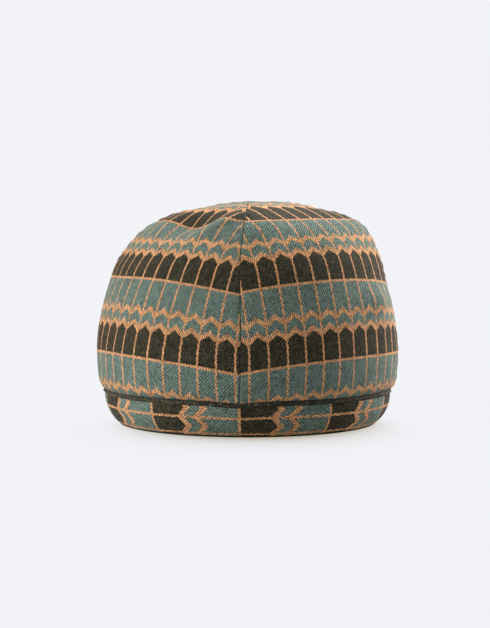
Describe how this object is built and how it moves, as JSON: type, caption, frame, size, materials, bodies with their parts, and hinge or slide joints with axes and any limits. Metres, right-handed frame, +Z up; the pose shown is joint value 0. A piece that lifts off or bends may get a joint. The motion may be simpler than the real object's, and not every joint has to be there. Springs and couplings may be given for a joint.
{
  "type": "jacquard hat",
  "caption": "Soft domed brimless hat of four crown panels with a narrow band and a dark piping, in a woven geometric stripe, open below for the head.",
  "frame": {"origin": "centre of the bounding box on the plane that the rim stands on", "axes": "+Z up through the crown, -Y out of the front seam, +X to the viewer's right when seen from the front"},
  "size_m": [0.201, 0.201, 0.1471],
  "materials": {
    "jacquard_cloth": "woven, matt",
    "piping_cloth": "woven, matt",
    "facing_cloth": "woven, matt"
  },
  "bodies": {
    "root": {"crown_panel_front_left": "jacquard_cloth", "crown_panel_front_right": "jacquard_cloth", "crown_panel_back_right": "jacquard_cloth", "crown_panel_back_left": "jacquard_cloth", "crown_piping": "piping_cloth", "hat_band": "jacquard_cloth", "inner_band": "facing_cloth"}
  },
  "joints": []
}
